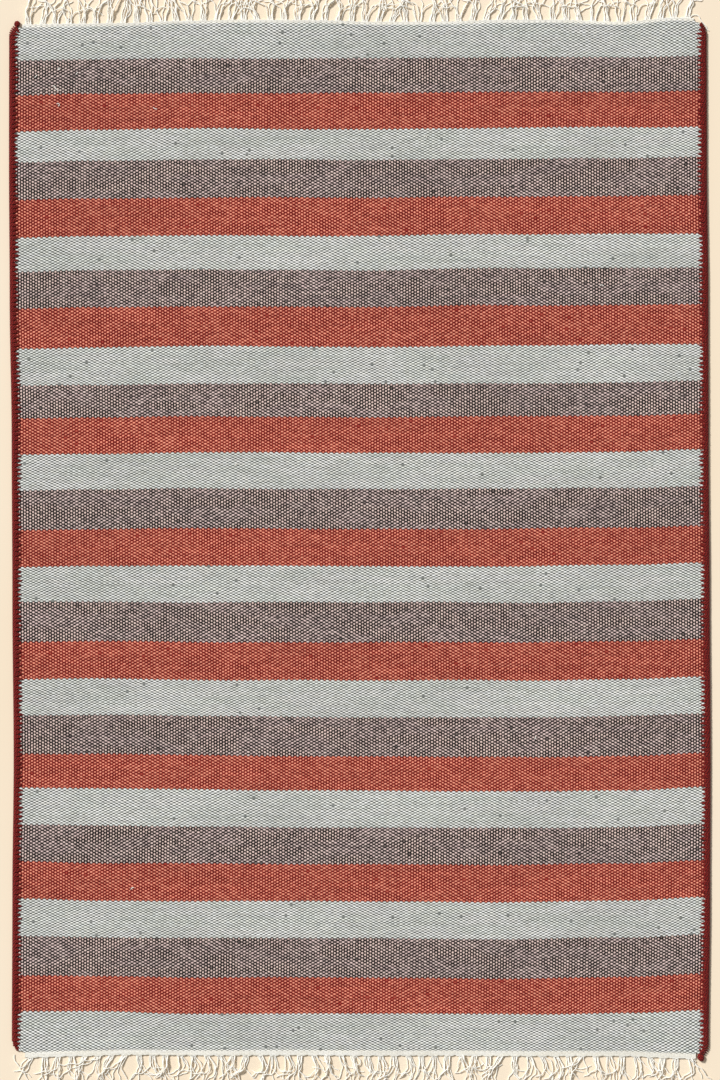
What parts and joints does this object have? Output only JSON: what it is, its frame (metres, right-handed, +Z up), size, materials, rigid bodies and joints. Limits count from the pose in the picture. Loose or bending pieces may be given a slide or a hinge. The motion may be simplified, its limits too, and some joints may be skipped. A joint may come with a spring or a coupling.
{
  "type": "flatweave rug",
  "caption": "Flat woven rug in cross stripes of sage, grey and brick red, with whipped dark red selvedges and a short cream cotton fringe at both ends.",
  "frame": {"origin": "middle of the rug, on the floor it lies on", "axes": "+X across the rug, +Y along it to the end that is at the top of the picture, +Z up from the floor"},
  "size_m": [1.2318, 1.948, 0.009],
  "materials": {
    "sage_weft": "matt wool weft, sage, pale pips on a grey ground",
    "grey_weft": "matt wool weft, brownish grey",
    "red_weft": "matt wool weft, brick red",
    "red_binding": "matt wool yarn, dark oxblood",
    "cream_cotton": "matt unbleached cotton"
  },
  "bodies": {
    "root": {"rug_body": "sage_weft", "selvedge_left": "red_binding", "selvedge_right": "red_binding", "fringe_far": "cream_cotton", "fringe_near": "cream_cotton"}
  },
  "joints": []
}
